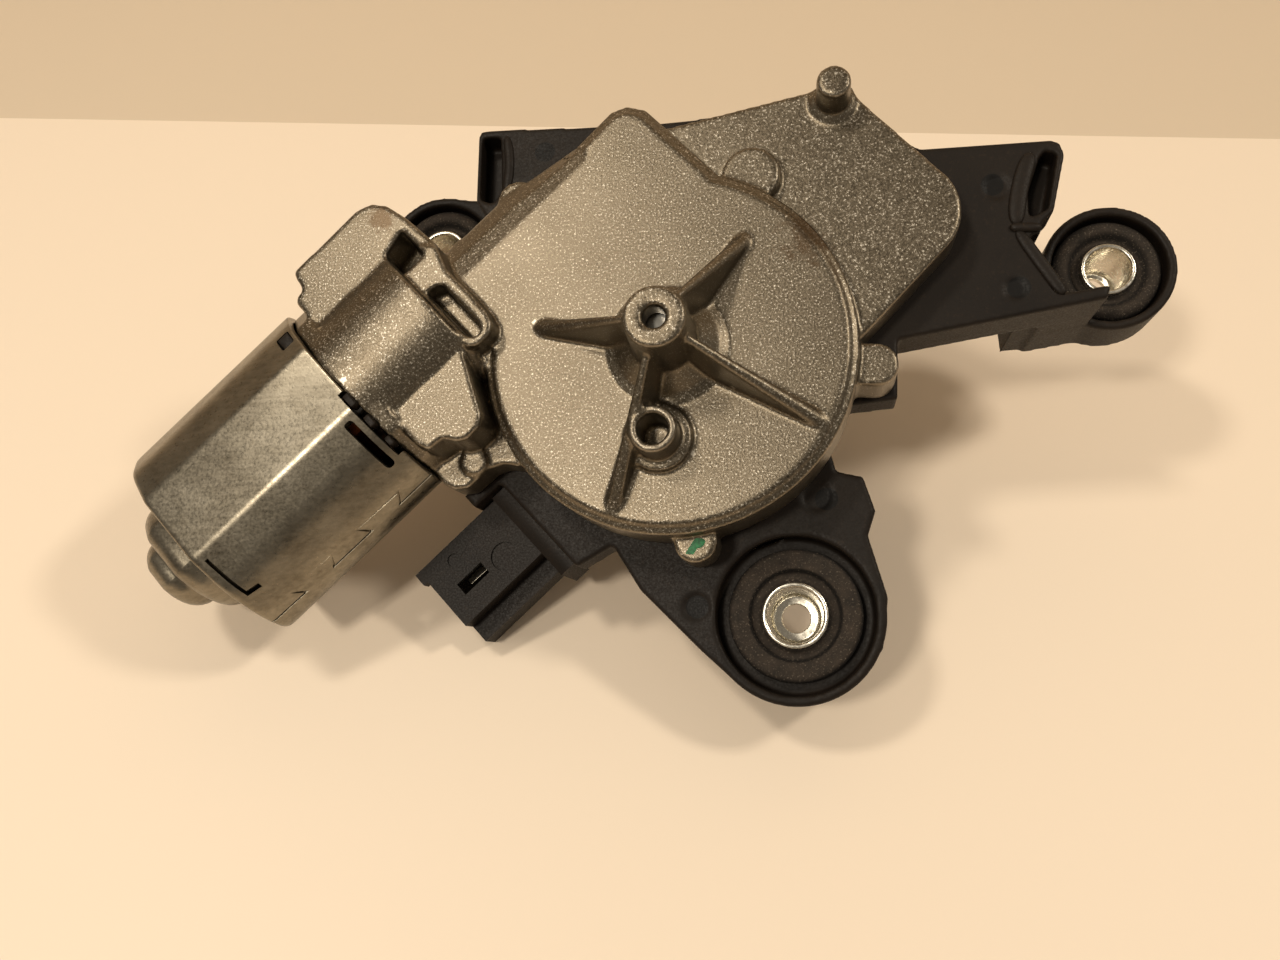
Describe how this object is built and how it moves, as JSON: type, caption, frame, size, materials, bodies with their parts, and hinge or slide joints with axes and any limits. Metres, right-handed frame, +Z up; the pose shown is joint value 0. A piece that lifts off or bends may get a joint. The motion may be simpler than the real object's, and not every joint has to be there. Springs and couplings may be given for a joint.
{
  "type": "wiper motor",
  "caption": "Rear wiper gear motor: steel can motor on a die-cast worm gear housing with ribbed cover, black plastic bracket with rubber-bushed ears, plug socket and swinging output shaft.",
  "frame": {"origin": "centre of the footprint on the bench, under the motor as it lies in the picture", "axes": "+X across the motor from the can to the right-hand ear, +Z up from the bench, +Y away from the camera; the cover face tilts towards the camera"},
  "size_m": [0.2378, 0.1352, 0.097],
  "materials": {
    "cast_aluminium": "shot-blasted die casting",
    "black_plastic": "moulded glass-filled plastic",
    "rubber": "moulded rubber",
    "zinc_steel": "zinc plated",
    "tin_plated_brass": "tin plated",
    "steel": "ground",
    "laminated_steel": "stacked sheets",
    "copper": "enamelled wire and bars",
    "ferrite": "sintered",
    "bronze": "sintered",
    "card_plastic": "moulded",
    "carbon": "pressed",
    "wheel_plastic": "moulded",
    "seal_rubber": "moulded"
  },
  "bodies": {
    "base": {"gear_housing": "cast_aluminium", "bracket_cover": "black_plastic", "connector_shell": "black_plastic", "connector_pins": "tin_plated_brass", "grommet_right": "rubber", "sleeve_right": "zinc_steel", "grommet_left": "rubber", "sleeve_left": "zinc_steel", "grommet_lower": "rubber", "sleeve_lower": "zinc_steel", "motor_can": "zinc_steel", "can_end_plate": "zinc_steel", "magnet_near": "ferrite", "magnet_far": "ferrite", "rear_bearing": "bronze", "middle_bearing": "bronze", "front_bearing": "bronze", "brush_card": "card_plastic", "brushes": "carbon", "brush_springs": "steel", "chokes": "ferrite", "wheel_washer": "steel", "wheel_axle": "steel", "axle_clip": "steel", "upper_output_bush": "bronze", "output_tube": "steel", "inner_output_bush": "bronze", "outer_output_bush": "bronze", "shaft_seal": "seal_rubber", "cover_screws": "zinc_steel"},
    "armature": {"armature_shaft": "steel", "armature_core": "laminated_steel", "armature_windings": "copper", "commutator": "copper"},
    "wheel": {"worm_wheel": "wheel_plastic", "crank_pin": "steel", "park_disc": "bronze"},
    "link": {"rocker_link": "steel", "rod_pivot_pin": "steel"},
    "rod": {"sector_rod": "steel"},
    "output": {"output_shaft": "steel", "output_pinion": "steel", "shaft_clip": "steel", "shaft_washer": "steel"}
  },
  "joints": [
    {"name": "armature_turn", "type": "hinge", "parent": "base", "child": "armature", "pos_m": [-0.02918, 0.02475, 0.06538], "axis": [-0.6821, -0.6137, -0.3975], "continuous": true},
    {"name": "wheel_turn", "type": "hinge", "parent": "base", "child": "wheel", "pos_m": [0.00215, -0.00388, 0.05583], "axis": [-0.1269, -0.436, 0.8909], "continuous": true},
    {"name": "link_swing", "type": "hinge", "parent": "base", "child": "link", "pos_m": [0.01894, 0.03558, 0.0663], "axis": [-0.1269, -0.436, 0.8909], "range_deg": [-56, 0]},
    {"name": "rod_turn", "type": "hinge", "parent": "link", "child": "rod", "pos_m": [0.04608, 0.03297, 0.07226], "axis": [-0.1269, -0.436, 0.8909], "range_deg": [0, 41.87]},
    {"name": "output_turn", "type": "hinge", "parent": "base", "child": "output", "pos_m": [0.0216, 0.04474, 0.04759], "axis": [-0.1269, -0.436, 0.8909], "range_deg": [-133.26, 0]}
  ],
  "couplings": [
    {"joint": "wheel_turn", "follows": "armature_turn", "ratio": -0.016949},
    {"joint": "rod_turn", "follows": "link_swing", "ratio": -0.74678},
    {"joint": "output_turn", "follows": "link_swing", "ratio": 2.3787}
  ]
}
